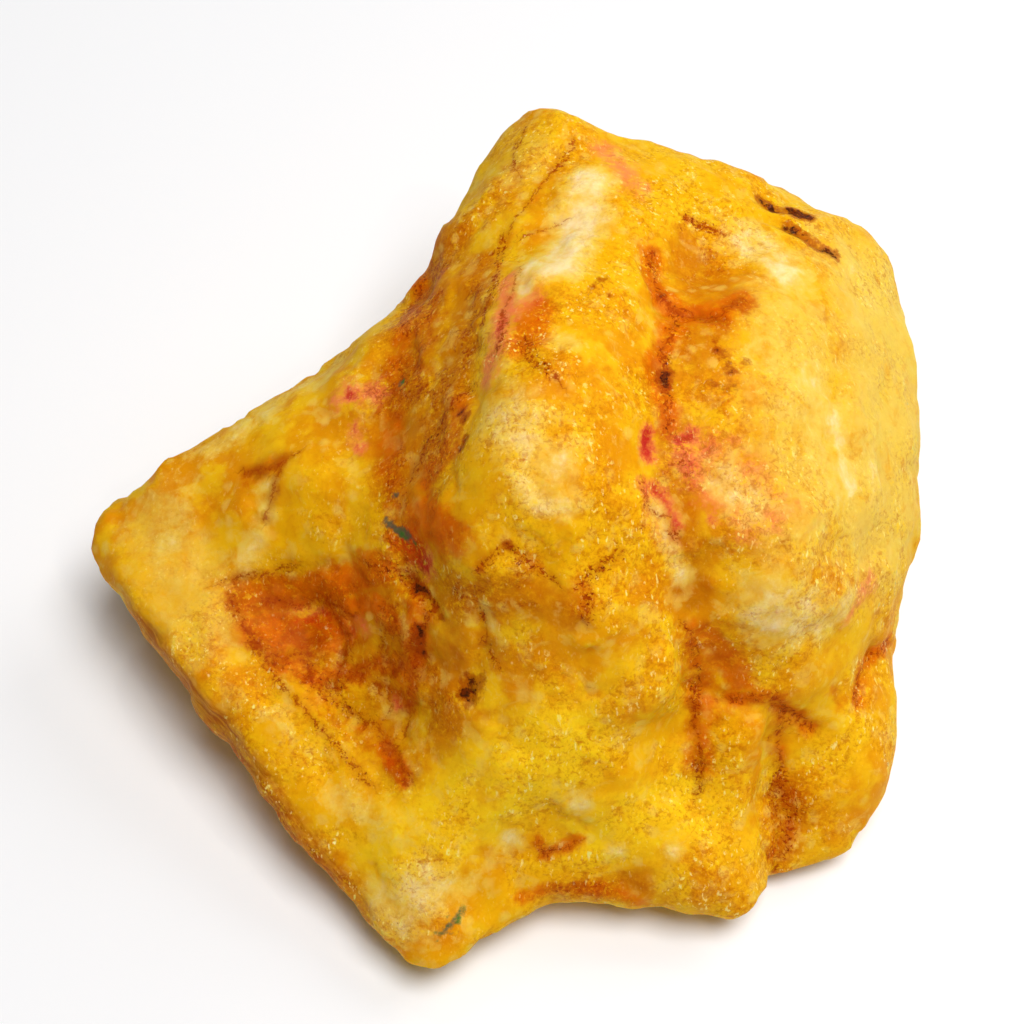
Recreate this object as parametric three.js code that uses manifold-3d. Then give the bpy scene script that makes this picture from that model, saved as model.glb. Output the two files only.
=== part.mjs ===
// A rough yellow sapphire: one broken block of massive stone, lying on the flat face it broke off with.
// Millimetres, +Z up, +X to the right, -Y to the front. The origin is under the middle of the stone, on its flat face.
import * as THREE from "three";
import { mergeVertices } from "three/addons/utils/BufferGeometryUtils.js";
import Module from "manifold-3d";

const wasm = await Module();
wasm.setup();

// Driving dimensions.
const STONE_WIDTH = 68; // across the left tip and the right side
const SKETCH_WIDTH = 68; // the width at which the landmarks below are written
const DETAIL = 20; // a side of the ball is cut into DETAIL + 1, for 20 * (DETAIL + 1)^2 triangles
const CENTRE = [1, -2, 6]; // the inside point that every landmark is seen from
const LIFT = 0.45; // how far the ball is raised over that point, to give the top the smaller triangles
const KERNEL = 0.12; // how rounded the surface is at a landmark, as a share of the unit ball
const SMOOTHING = 0.006; // how far the surface may pass a landmark by
const LARGE_RELIEF = { size: 8, height: 0.5, seed: 11 };
const SMALL_RELIEF = { size: 3.6, height: 0.3, seed: 23 };
const FACETS = [
  // a flat break: the way it looks, the distance of its plane from the origin, the rounding of its edge,
  // and the corner that stands clear of it
  { way: [-0.727, -0.642, 0.242], distance: 30.7, rounding: 0.8, clear: [-34, -4, 12], clearance: 4 },
  { way: [-0.697, -0.388, -0.604], distance: 18.1, rounding: 1, clear: [-34, -4, 12], clearance: 2 },
  { way: [-0.44, 0.85, -0.3], distance: 11.6, rounding: 2.5, clear: [0, 30, 26], clearance: 14 },
  { way: [0.02, 0.98, -0.2], distance: 25, rounding: 1.5, clear: [9.5, 27.5, 27.5], clearance: 3 },
  { way: [0.97, 0.05, -0.22], distance: 30.4, rounding: 1.5, clear: [27, 26, 20], clearance: 3 },
];
const BOTH = 0; // a carving lowers both sides of its path alike,
const LEFT = -1; // or only the side on the left when it is walked along, seen from outside,
const RIGHT = 1; // or only the one on the right
const CARVINGS = [
  // the wall and the upper edge of the rusty hollow
  {
    path: [[-21.5, -5.5, 16.5], [-22.5, -8.5, 15.5], [-19.5, -12, 14.5], [-15.5, -16.5, 13.5], [-13.5, -21, 11]],
    side: LEFT, depth: 2.2, edge: 2, reach: 11,
  },
  { path: [[-21.5, -5.5, 16.5], [-16, -5.5, 18.5], [-10.5, -6.5, 21]], side: RIGHT, depth: 0.8, edge: 2.5, reach: 8 },
  // the steep left side of the crest and the valley at its foot
  {
    path: [[-0.5, 12, 33], [-1, 5.5, 34], [-2.5, 0.5, 33.5], [-4, -4, 31.5]],
    side: RIGHT, depth: 0.8, edge: 2, reach: 6,
  },
  { path: [[-7.5, 18, 23], [-8.5, 11.5, 25], [-9, 5, 25.5], [-8.5, -3, 25]], side: BOTH, depth: 0.6, edge: 3 },
  // the groove beside the right lobe, the bowl at its head and the ledge at its foot
  {
    path: [[11.5, 17, 30.5], [12.5, 10, 31], [11, 5, 31.5], [10.5, -1, 31], [12, -7, 28.5], [14, -12, 24.5]],
    side: BOTH, depth: 0.5, edge: 2.4,
  },
  { path: [[14, 14.5, 29.5], [15, 13.5, 29.5], [16, 13, 29.5]], side: BOTH, depth: 1.3, edge: 3.8 },
  {
    path: [[14, -11.5, 24.5], [13.5, -13.5, 22], [14.5, -15.5, 18.5], [14, -18.5, 14.5], [15, -22, 10]],
    side: LEFT, depth: 1.6, edge: 1.8, reach: 6,
  },
  // the creases under the right lobe and beside the low block
  {
    path: [[14.5, -15.5, 18.5], [19, -16, 17], [23, -16, 13.5], [26, -16, 11]],
    side: RIGHT, depth: 1.2, edge: 1.8, reach: 5,
  },
  { path: [[21, -16.5, 15.5], [21.5, -19, 10], [22.5, -22, 6], [21.5, -25.5, 3]], side: BOTH, depth: 1.3, edge: 2.2 },
  { path: [[31, -8.5, 10.5], [29, -12, 12.5], [27, -14.5, 12]], side: BOTH, depth: 1, edge: 2 },
  // the strip behind the ridge at the back, and the notch in the front foot
  {
    path: [[9.5, 25, 29.5], [20, 20.5, 28.5], [25.5, 18.5, 26], [29.5, 12, 24]],
    side: LEFT, depth: 0.8, edge: 1.8, reach: 5,
  },
  { path: [[1.5, -30, 4], [1, -27.5, 7], [0.5, -25.5, 10]], side: BOTH, depth: 0.9, edge: 2.2 },
];
const WEAR_PASSES = 2; // how often the edges of the carvings are worn down
const GROUND_SNAP = 0.4; // corners this close to the ground are put on it, so that the flat cut leaves no slivers
const STONE_COLOUR = 0xe4a21f;
const STONE_ROUGHNESS = 0.45;

// Landmarks on the surface, [x, y, z], going round or along each feature.
const LANDMARKS = {
  rimUpperLeft: [
    [-34.5, -3, 14], [-33, 1.5, 14.5], [-30.5, 4.5, 15.5], [-25.5, 6.5, 16.5], [-20, 9.5, 18],
    [-15, 11.5, 20], [-10, 15, 22], [-7.5, 18, 23.5],
  ],
  rimPeak: [
    [-7, 22, 25], [-4.5, 25, 26], [-1, 28.5, 27.5], [1, 31, 29], [3, 31.5, 29.5], [6, 31, 29], [9.5, 28, 27.5],
  ],
  rimBackRight: [
    [12.5, 28.3, 27], [17.5, 27.6, 25.5], [22, 26.4, 24], [27, 25, 22], [30, 23.6, 20.5], [32.5, 20, 19],
    [33.5, 13.5, 17.5], [34, 8, 16],
  ],
  rimRight: [
    [33.5, 3, 14.5], [33, -1.5, 13], [31.5, -7, 11.5], [31, -8.5, 10.5], [31.5, -13.5, 8.5], [31, -18, 6],
    [29.5, -23, 4], [28, -26, 3], [25.5, -28, 2.5], [23, -28.5, 2.5],
  ],
  rimFront: [
    [20.5, -28, 3], [19, -31, 3.5], [14, -30, 3.5], [10, -30, 3.5], [7, -30, 4], [4, -30, 4], [1.5, -31, 4.5],
    [-2, -33.5, 5], [-4, -35, 5], [-6.5, -37, 5], [-9.5, -34.5, 5.5],
  ],
  leftEdgeTop: [
    [-33, -4.5, 13.5], [-31.5, -8, 13.5], [-29, -13, 14], [-26.5, -17, 13], [-24, -20, 11.5], [-20.5, -24, 9.5],
    [-17, -28, 7], [-12, -30, 6],
  ],
  leftEdgeFoot: [
    [-33, -7, 9], [-32, -9.5, 3], [-29, -14, 2], [-25, -19, 2], [-21, -24, 2], [-16.5, -28, 2],
    [-12, -30, 3],
  ],
  leftLobe: [
    [-28.5, 0, 16.5], [-23.5, 2.5, 19], [-23, -3, 18], [-17.5, 3.5, 21.5], [-16.5, -1.5, 22], [-13, 6, 23.5],
    [-11.5, 0.5, 24], [-28, -4.5, 16], [-21.5, -5.5, 17.5], [-16, -5.5, 20], [-11, -6.5, 22],
  ],
  strip: [[-24.5, -10, 15.5], [-21.5, -14, 14.5], [-17.5, -18, 13.5], [-14.5, -22, 11.5], [-12.5, -25.5, 10]],
  hollow: [
    [-18, -10.5, 15], [-13, -11, 17], [-16.5, -14.5, 14], [-12, -15, 15], [-14, -19.5, 11.5], [-9, -22, 12],
    [-8, -18.5, 15], [-7.5, -14, 20],
  ],
  valley: [[-8, 14.5, 25], [-8, 9, 26.5], [-7.5, 3, 27], [-8, -2, 26.5], [-8, -5.5, 25.5], [-7, -9.5, 23.5]],
  crest: [
    [3, 28.5, 30], [5.5, 23.5, 31], [5, 18, 32], [3, 12.5, 33], [0.5, 8, 33.5], [-0.5, 4, 34], [-1.5, -0.5, 34],
    [-2.5, -4.5, 33], [-3, -8.5, 31], [-2.5, -12, 28.5],
  ],
  peakLeft: [[-2, 23, 28.5], [-3.5, 18.5, 28], [-4.5, 12.5, 28.5], [-4.5, 5.5, 29.5], [-5, -1, 29.5]],
  centre: [
    [3.5, 5.5, 34.5], [3.5, -1.5, 35.5], [3.5, -7.5, 34], [7, -3.5, 34.5], [8, 3.5, 34], [8, 11, 33], [7.5, 18.5, 32],
    [8, -8, 32], [3.5, -11.5, 30],
  ],
  grooveRight: [
    [11.5, 15.5, 31.5], [12.5, 9, 31.6], [11.5, 3.5, 31.8], [10.5, -1.5, 31.8], [11, -6, 30.2], [13, -9, 28],
    [14, -12.5, 24.3], [14.5, -15.5, 20.5], [14, -19, 15], [14.5, -22, 11],
  ],
  bowl: [[15, 14, 29], [14.5, 9.5, 31]],
  rightLobe: [
    [10.5, 25, 29], [15, 20, 29.5], [20, 19.5, 28.5], [23, 15, 28.5], [17.5, 11, 31], [17.5, 4, 32], [16.5, -2, 31.5],
    [22, 7, 30], [26.5, 11, 26.5], [29, 7, 23.5], [23, 0.5, 29], [18.5, -7, 29.5], [24, -6, 26.5], [29, -2.5, 21],
    [18.5, -12, 27], [23, -12.5, 24], [28, -9, 18.5], [16, -14.5, 23.5], [20.5, -15.5, 20.5], [25, -13.5, 18.5],
  ],
  backStrip: [[15.5, 25.5, 27.5], [21, 24, 26], [27, 21, 24], [30.5, 17.5, 22]],
  block: [
    [18, -17, 18], [22.5, -18, 15], [28, -14.5, 12], [17.5, -20.5, 16], [26, -19.5, 11], [17.5, -24, 12],
    [28.5, -18, 9.5], [25, -22.5, 7.5], [19, -26, 8.5],
  ],
  creaseFoot: [[21.5, -18.5, 11.5], [22, -22, 7], [21.5, -24.5, 4]],
  front: [
    [8, -12, 28.5], [3, -15.5, 25.5], [8, -16, 24.5], [12, -14.5, 24], [-1, -14.5, 25.5], [3.5, -20, 20.5],
    [9, -20, 19.5], [11.5, -19, 20], [-1, -19, 20.5], [3.5, -23.5, 15.5], [9, -23.5, 14], [14, -25.5, 10.5],
    [7.5, -27, 9.5], [2.5, -26.5, 10.5], [-1, -23.5, 16],
  ],
  bottomLobe: [
    [-4.5, -17, 19.5], [-5, -21, 15.5], [-5.5, -25, 13], [-2.5, -27.5, 11], [-6.5, -29, 10.5], [-9, -27.5, 11],
    [-10, -30, 8], [-6.5, -31.5, 7.5], [-2.5, -30, 7.5],
  ],
  sideUpperLeft: [
    [-28.5, 4, 8], [-25, 2, 1], [-18.5, 9.5, 9], [-16, 7.5, 1], [-10, 15, 12], [-9, 12.5, 1.5],
  ],
  sideBack: [
    [-4.5, 23, 15], [-2, 19, 2], [3, 30.5, 20], [4.5, 28, 10], [5.5, 22.5, 1.5], [13, 29.5, 17], [12.5, 27, 8],
    [12, 21.5, 1.5],
  ],
  sideRight: [
    [22.5, 28, 15], [21.5, 25, 6], [19, 19.5, 1], [30.5, 24, 12], [28, 20.5, 4], [24, 16, 0.5], [32.5, 13.5, 10],
    [28.5, 11.5, 2], [33, 4, 9], [29, 3, 1.5], [31, -4, 6], [28, -5, 1], [30, -13.5, 3], [27, -13, 0],
  ],
  footFront: [
    [26, -20, 0.5], [20, -23.5, 0.5], [16, -26, 0.5], [9, -25.5, 0.5], [4, -25, 0.5], [-2, -27.5, 1.5],
    [-6, -29.5, 2], [-10, -27, 0.5],
  ],
  underside: [
    [0, 0, -1.5], [10, 0, -1.5], [-10, 0, -1.5], [0, -12, -1.5], [10, -14, -1.5], [20, -12, -1.5], [20, 2, -1.5],
    [10, 12, -1.5], [0, 10, -1.5], [-18, -5, -1], [-14, -15, -1],
  ],
};

// A repeatable value between 0 and 1 for a cell of a grid.
function cellValue(x, y, z, seed) {
  let h = Math.imul(x, 374761393) ^ Math.imul(y, 668265263) ^ Math.imul(z, 2147483647) ^ Math.imul(seed, 1274126177);
  h = Math.imul(h ^ (h >>> 13), 1274126177);
  return ((h ^ (h >>> 16)) >>> 0) / 4294967295;
}

// Smooth noise between -1 and 1.
function noise(p, size, seed) {
  const cell = p.map((v) => Math.floor(v / size));
  const ease = p.map((v, i) => {
    const t = v / size - cell[i];
    return t * t * (3 - 2 * t);
  });
  let sum = 0;
  for (const dx of [0, 1])
    for (const dy of [0, 1])
      for (const dz of [0, 1]) {
        const share =
          (dx ? ease[0] : 1 - ease[0]) * (dy ? ease[1] : 1 - ease[1]) * (dz ? ease[2] : 1 - ease[2]);
        sum += share * cellValue(cell[0] + dx, cell[1] + dy, cell[2] + dz, seed);
      }
  return 2 * sum - 1;
}

// How far the relief lifts the surface at a point.
function swelling(relief, point) {
  return relief.height * noise(point, relief.size, relief.seed);
}

// Solves the square system rows * x = values by elimination.
function solve(rows, values) {
  const n = values.length;
  const m = rows.map((row, i) => [...row, values[i]]);
  for (let c = 0; c < n; c++) {
    let best = c;
    for (let r = c + 1; r < n; r++) if (Math.abs(m[r][c]) > Math.abs(m[best][c])) best = r;
    [m[c], m[best]] = [m[best], m[c]];
    for (let r = c + 1; r < n; r++) {
      const f = m[r][c] / m[c][c];
      for (let k = c; k <= n; k++) m[r][k] -= f * m[c][k];
    }
  }
  const x = new Array(n).fill(0);
  for (let r = n - 1; r >= 0; r--) {
    let rest = m[r][n];
    for (let k = r + 1; k < n; k++) rest -= m[r][k] * x[k];
    x[r] = rest / m[r][r];
  }
  return x;
}

// The distance from the centre to the surface in any direction, drawn smoothly through the landmarks.
function radiusThrough(points) {
  const rays = points.map((p) => new THREE.Vector3(...p).sub(new THREE.Vector3(...CENTRE)));
  const lengths = rays.map((r) => r.length());
  const ways = rays.map((r) => r.clone().normalize());
  const kernel = (a, b) => Math.sqrt(a.distanceToSquared(b) + KERNEL * KERNEL);
  const rows = ways.map((a, i) => [...ways.map((b, j) => kernel(a, b) - (i === j ? SMOOTHING : 0)), 1]);
  rows.push([...ways.map(() => 1), 0]);
  const weights = solve(rows, [...lengths, 0]);
  return (way) => ways.reduce((sum, w, i) => sum + weights[i] * kernel(w, way), weights[ways.length]);
}

// How deep a carving goes in at a point of the surface, whose outward normal is given.
function carvedDepth(carving, point, normal) {
  const path = carving.path.map((p) => new THREE.Vector3(...p));
  const reach = carving.side === BOTH ? carving.edge : carving.reach;
  let nearest = Infinity;
  let depth = 0;
  for (let i = 0; i + 1 < path.length; i++) {
    const along = path[i + 1].clone().sub(path[i]);
    const share = Math.min(Math.max(point.clone().sub(path[i]).dot(along) / along.lengthSq(), 0), 1);
    const away = point.clone().sub(path[i]).addScaledVector(along, -share);
    const distance = away.length();
    if (distance >= nearest) continue;
    nearest = distance;
    const onLowSide = carving.side * away.dot(along.cross(normal)) >= 0;
    const fromEnd = Math.min(i + share, path.length - 1 - i - share);
    if (distance >= reach || !onLowSide) depth = 0;
    else if (carving.side === BOTH) depth = (1 - (distance / reach) ** 2) ** 2;
    else depth = Math.min(distance / carving.edge, 1) * (1 - distance / reach) ** 1.5;
    depth *= Math.min(2 * fromEnd, 1);
  }
  return depth * carving.depth;
}

// The smaller of two lengths, with the corner between them rounded.
function softMin(a, b, rounding) {
  const near = Math.max(rounding - Math.abs(a - b), 0) / rounding;
  return Math.min(a, b) - (near * near * rounding) / 4;
}

// Wears the edges of the carvings down: every point takes the mean of its own depth and its neighbours'.
function wornDown(depths, corners) {
  const sums = [...depths];
  const counts = depths.map(() => 1);
  for (let c = 0; c < corners.length; c++) {
    const next = corners[c % 3 === 2 ? c - 2 : c + 1];
    sums[corners[c]] += depths[next];
    counts[corners[c]]++;
  }
  return sums.map((sum, i) => sum / counts[i]);
}

// Cuts every carving into the stone, along the normals it had before the first.
function carve(stone) {
  stone.computeVertexNormals();
  const place = stone.getAttribute("position");
  const normals = stone.getAttribute("normal");
  const at = (attribute, i) => new THREE.Vector3().fromBufferAttribute(attribute, i);
  let depths = Array.from({ length: place.count }, (_, i) =>
    CARVINGS.reduce((sum, carving) => sum + carvedDepth(carving, at(place, i), at(normals, i)), 0),
  );
  for (let pass = 0; pass < WEAR_PASSES; pass++) depths = wornDown(depths, stone.index.array);
  for (let i = 0; i < place.count; i++) {
    const p = at(place, i).addScaledVector(at(normals, i), -depths[i]);
    place.setXYZ(i, p.x, p.y, p.z);
  }
}

// Cuts off everything below the ground: this is the flat face that the stone rests on.
function cutFlat(whole) {
  const place = whole.getAttribute("position");
  for (let i = 0; i < place.count; i++) if (Math.abs(place.getZ(i)) < GROUND_SNAP) place.setZ(i, 0);
  const solid = new wasm.Manifold(
    new wasm.Mesh({
      numProp: 3,
      vertProperties: place.array,
      triVerts: new Uint32Array(whole.index.array),
    }),
  );
  const { vertProperties, triVerts } = solid.trimByPlane([0, 0, 1], 0).getMesh();
  return new THREE.BufferGeometry()
    .setAttribute("position", new THREE.BufferAttribute(vertProperties, 3))
    .setIndex(new THREE.BufferAttribute(triVerts, 1));
}

function stoneGeometry() {
  const radius = radiusThrough(Object.values(LANDMARKS).flat());
  const ball = new THREE.IcosahedronGeometry(1, DETAIL);
  ball.deleteAttribute("normal");
  ball.deleteAttribute("uv");
  const whole = mergeVertices(ball, 1e-5);
  const place = whole.getAttribute("position");
  const centre = new THREE.Vector3(...CENTRE);
  for (let i = 0; i < place.count; i++) {
    const way = new THREE.Vector3().fromBufferAttribute(place, i);
    way.z += LIFT;
    way.normalize();
    let length = radius(way);
    const at = way.clone().multiplyScalar(length).add(centre).toArray();
    length += swelling(LARGE_RELIEF, at);
    for (const facet of FACETS) {
      const normal = new THREE.Vector3(...facet.way).normalize();
      const towards = way.dot(normal);
      if (towards <= 0) continue;
      const cut = softMin(length, (facet.distance - centre.dot(normal)) / towards, facet.rounding);
      const away = new THREE.Vector3(...facet.clear).distanceTo(way.clone().multiplyScalar(length).add(centre));
      length += (cut - length) * Math.min((away / facet.clearance) ** 2, 1);
    }
    length += swelling(SMALL_RELIEF, at);
    const p = way.multiplyScalar(length).add(centre);
    place.setXYZ(i, p.x, p.y, p.z);
  }
  carve(whole);
  const stone = cutFlat(whole);
  const scale = STONE_WIDTH / SKETCH_WIDTH;
  stone.scale(scale, scale, scale);
  stone.computeBoundingBox();
  const box = stone.boundingBox;
  stone.translate(-(box.min.x + box.max.x) / 2, -(box.min.y + box.max.y) / 2, -box.min.z);
  stone.computeVertexNormals();
  return stone;
}

const stone = new THREE.Mesh(
  stoneGeometry(),
  new THREE.MeshStandardMaterial({ color: STONE_COLOUR, roughness: STONE_ROUGHNESS, metalness: 0 }),
);
stone.name = "sapphire_rough";

const root = new THREE.Group();
root.name = "rough_yellow_sapphire";
root.add(stone);
export default root;
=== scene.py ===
"""A rough yellow sapphire on a pale table: one broken block of massive, sugary stone with rusty stains.

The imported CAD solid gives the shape. This script subdivides a copy of it, cuts the finer creases and
grain into it, works out where each stain lies on it, and gives it a stone material. Lengths are in
millimetres until they are handed to Blender, which works in metres.
"""
import math

import bmesh
import bpy
import numpy as np
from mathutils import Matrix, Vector, noise


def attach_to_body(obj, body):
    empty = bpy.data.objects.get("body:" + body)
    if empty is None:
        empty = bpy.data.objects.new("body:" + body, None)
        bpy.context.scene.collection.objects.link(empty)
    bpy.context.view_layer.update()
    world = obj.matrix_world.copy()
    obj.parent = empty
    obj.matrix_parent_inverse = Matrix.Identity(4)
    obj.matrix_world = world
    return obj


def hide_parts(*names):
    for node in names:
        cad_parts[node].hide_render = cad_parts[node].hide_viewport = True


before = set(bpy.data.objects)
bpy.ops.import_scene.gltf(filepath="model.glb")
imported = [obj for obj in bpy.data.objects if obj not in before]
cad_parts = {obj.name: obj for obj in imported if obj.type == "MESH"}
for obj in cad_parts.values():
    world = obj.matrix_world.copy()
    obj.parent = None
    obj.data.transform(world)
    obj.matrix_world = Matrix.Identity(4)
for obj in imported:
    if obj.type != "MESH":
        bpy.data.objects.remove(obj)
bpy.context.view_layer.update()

MM = 0.001
NODE = "sapphire_rough"

# ---------------------------------------------------------------- camera, light and table

CAMERA_TARGET = Vector((0.42, 0.42, 18))
CAMERA_DISTANCE = 170.8
CAMERA_ELEVATION = math.radians(62)
CAMERA_LENS = 75
SENSOR = 36

WORLD_COLOUR = (0.95, 0.97, 1.05)
WORLD_STRENGTH = 0.08
LAMPS = {
    # name: way the light comes from, distance, side of the square lamp, watts, colour
    "key": ((0.20, -0.08, 0.97), 500, 240, 2.4, (1.0, 0.985, 0.96)),
    "side": ((0.62, 0.38, 0.68), 600, 300, 0.9, (1.0, 0.985, 0.96)),
    "spark": ((-0.1, 0.5, 0.86), 600, 14, 0.12, (1.0, 0.88, 0.66)),
    "glint": ((0.35, -0.35, 0.87), 600, 14, 0.12, (1.0, 0.88, 0.66)),
}
TABLE_SIDE = 4000
TABLE_GAP = 0.05  # under the stone, so that its flat face and the table don't share a plane


def add_camera():
    """Looks from the front and 62 degrees up."""
    data = bpy.data.cameras.new("camera")
    data.lens = CAMERA_LENS
    data.sensor_width = SENSOR
    data.clip_start = 0.01
    camera = bpy.data.objects.new("camera", data)
    back = Vector((0, -math.cos(CAMERA_ELEVATION), math.sin(CAMERA_ELEVATION)))
    camera.location = (CAMERA_TARGET + back * CAMERA_DISTANCE) * MM
    camera.rotation_euler = back.to_track_quat("Z", "Y").to_euler()
    bpy.context.collection.objects.link(camera)
    bpy.context.scene.camera = camera


def add_lamp(name, way, distance, side, watts, colour):
    """A square lamp that looks at the stone from a way and a distance."""
    data = bpy.data.lights.new(name, "AREA")
    data.shape = "SQUARE"
    data.size = side * MM
    data.energy = watts
    data.color = colour
    lamp = bpy.data.objects.new(name, data)
    way = Vector(way).normalized()
    lamp.location = (CAMERA_TARGET + way * distance) * MM
    lamp.rotation_euler = way.to_track_quat("Z", "Y").to_euler()
    bpy.context.collection.objects.link(lamp)


def add_world():
    """Even, slightly cool light from all round."""
    world = bpy.data.worlds.new("studio")
    world.use_nodes = True
    background = world.node_tree.nodes["Background"]
    background.inputs["Color"].default_value = (*WORLD_COLOUR, 1)
    background.inputs["Strength"].default_value = WORLD_STRENGTH
    bpy.context.scene.world = world


def add_table():
    """A sheet of white card."""
    half = TABLE_SIDE / 2 * MM
    mesh = bpy.data.meshes.new("table")
    corners = [(-half, -half, 0), (half, -half, 0), (half, half, 0), (-half, half, 0)]
    mesh.from_pydata(corners, [], [(0, 1, 2, 3)])
    mesh.materials.append(card_material())
    table = bpy.data.objects.new("table", mesh)
    table.location.z = -TABLE_GAP * MM
    bpy.context.collection.objects.link(table)


# ---------------------------------------------------------------- relief

LUMPS = [
    # size of the lumps, height, where in the noise they are taken from
    (5.0, 0.16, (3, 1, 8)),
    (2.2, 0.085, (5, 12, 9)),
    (1.0, 0.045, (7, 30, 4)),
]
CHIPS = [
    # size of the flat breaks, how much they are tilted, where in the noise they are taken from
    (4.6, 0.15, (3, 1, 8)),
]
CHIP_WARP = 0.25  # how much the edges of the chips wander, as a share of their size
CHIP_EDGE = 9  # how sharply one chip gives way to the next
CHIP_SEED = 1  # without a seed, the vector noise would start from the clock
GROUND_FADE = 1.6  # the relief dies out this close to the flat face

# Creases: half-width, depth, path.
CREASES = [
    # round the rusty hollow
    (0.9, 0.42, [(-21.5, -5.5, 16.5), (-22.5, -8.5, 15.5), (-21, -10.5, 15), (-18.5, -13.5, 14)]),
    (0.9, 0.48, [(-18.5, -13.5, 14), (-15.5, -16.5, 13.5), (-14, -19, 12), (-13.5, -21, 11)]),
    (0.8, 0.3, [(-21.5, -5.5, 16.5), (-19.5, -5, 17.5), (-16, -5.5, 18.5), (-13.5, -5.5, 20)]),
    (0.7, 0.3, [(-16, -8.4, 14), (-15.4, -10, 13.8), (-14.8, -11.4, 13.4), (-13, -14, 13)]),
    (0.6, 0.3, [(-9.8, -5.8, 22), (-8.2, -7.4, 21.8), (-5.8, -9.6, 22.6), (-5, -10.8, 22.6)]),
    (0.6, 0.24, [(-6.4, -11.2, 20.6), (-6.4, -12.4, 19.4), (-7.5, -15, 16), (-8.5, -18, 12.5)]),
    # the groove beside the right lobe, down to the ledge
    (1.2, 0.18, [(11.5, 16, 30.5), (11.5, 11.5, 31), (11, 6, 31.5), (11, 2.5, 31.5), (10.5, -1, 31)]),
    (1.0, 0.18, [(10.5, -1, 31), (11, -5.5, 30), (12, -7, 28.5), (13.5, -9.5, 26.5), (14, -11.5, 24.5)]),
    (0.6, 0.3, [(14, -11.5, 24.5), (13, -13, 23), (14.5, -14, 21), (14.5, -17, 16), (15, -21, 11)]),
    # the creases under the right lobe
    (0.7, 0.48, [(15, -15.5, 18), (17, -16, 17.5), (21, -16, 16), (23, -16, 13.5), (24.5, -16, 12)]),
    (0.8, 0.54, [(21, -16.5, 15.5), (21.5, -18, 11.5), (22, -20, 8), (22.5, -21.5, 6), (21.5, -25, 3)]),
    (0.7, 0.48, [(30, -9.5, 12.5), (28.5, -12, 12.5), (28, -13.5, 12)]),
    # the lower rim of the bowl
    (0.6, 0.36, [(11.5, 11.5, 31), (13, 10, 31), (14.5, 10.5, 30.5), (16.5, 10, 31.5)]),
    # small ones on the back strip, the left lobe and the front
    (0.5, 0.24, [(21.2, 24.6, 26.8), (23, 24.2, 26.4), (24.6, 24.2, 25.6)]),
    (0.5, 0.24, [(20.8, 22.4, 27.8), (23, 22, 27.2), (24.6, 20.6, 26.6), (26.4, 20.2, 25.8)]),
    (0.5, 0.18, [(-19.6, 0.4, 20.2), (-20.4, -1.4, 18.6), (-22.6, -3.4, 16.8), (-24.4, -4.4, 16)]),
    (0.5, 0.18, [(-2, -9.6, 29.2), (0.4, -9.4, 30.2), (2.6, -10, 29.6), (3.8, -11.2, 28.4)]),
    (0.6, 0.24, [(-1.8, -12, 24.8), (-2, -13.4, 22.8), (-2.6, -15, 20.2), (-2.6, -16.4, 19.2)]),
    (0.6, 0.24, [(1, -27.5, 7), (0.5, -25.5, 10), (3, -25.2, 9), (6.2, -23.8, 10.6)]),
]

# ---------------------------------------------------------------- stains

# Each stain: radius, strength, path along its middle.
CREAM = [
    # the white band down the crest
    (2.2, 1.2, [(6.5, 23, 31.5), (6, 19.5, 31.5), (5, 16.5, 32.5), (3.5, 13.5, 33)]),
    (1.2, 1.1, [(2.5, 14, 32.5), (1.5, 11.5, 33)]),
    # the right lobe, from the back to the front
    (2.0, 1.0, [(19, 19.5, 28.5), (21, 18, 28.5), (22, 15.5, 29)]),
    (1.3, 0.8, [(28, 19, 24.5), (29.5, 17, 23.5)]),
    (2.0, 0.8, [(23.5, 6, 29.5), (25, 3, 27)]),
    (1.3, 0.9, [(26, 2, 26.5), (26.5, -1, 25)]),
    (1.2, 0.8, [(28.5, 3.5, 24), (28.5, -1, 22.5)]),
    (2.4, 0.6, [(20.5, 7.5, 31), (22, 4, 30), (23.5, 0.5, 28), (24.5, -2.5, 26.5)]),
    (2.0, 0.8, [(16, -3, 30), (18.5, -5, 29.5)]),
    (2.8, 1.0, [(19.5, -10.5, 24), (22.5, -10.5, 22)]),
    (1.6, 0.8, [(25.5, -8.5, 21), (24, -11, 20)]),
    (0.8, 1.0, [(11, -5.5, 29.5), (12, -7.5, 27.5), (13, -9, 26)]),
    # the middle
    (1.2, 0.8, [(4.5, 5.5, 35)]),
    (1.2, 0.9, [(1, -5.5, 34), (2.5, -7, 33), (5, -7, 33)]),
    (2.8, 0.8, [(0, -0.5, 34.5), (3, -4, 34.5)]),
    # the left lobe
    (1.2, 0.8, [(-21, -3.5, 17), (-19.5, -2, 18.5), (-18.5, 1, 20)]),
    (1.6, 0.7, [(-24.5, 6, 18), (-21.5, 7.5, 19), (-17, 10.5, 20), (-14, 12.5, 21)]),
    (1.2, 0.6, [(-27.5, -2, 16), (-25.5, 3, 17)]),
    # the strip beside the hollow and the bottom lobe
    (1.2, 0.4, [(-19.5, -14, 13.5), (-17, -17.5, 12)]),
    (2.0, 0.5, [(-13, -21, 10.5), (-8.5, -24, 11.5)]),
    (3.0, 0.9, [(-9, -29.5, 7.5), (-6, -28, 9)]),
    # spots on the front
    (1.2, 1.0, [(5.5, -22.5, 13.5)]),
    (1.0, 1.0, [(0.5, -24.5, 10.5)]),
    (0.9, 1.0, [(8.5, -25, 9.5)]),
    (0.9, 1.0, [(13, -25, 9.5)]),
    (0.5, 1.0, [(-1.5, -11.5, 26), (-1, -13, 24.5)]),
]
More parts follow.
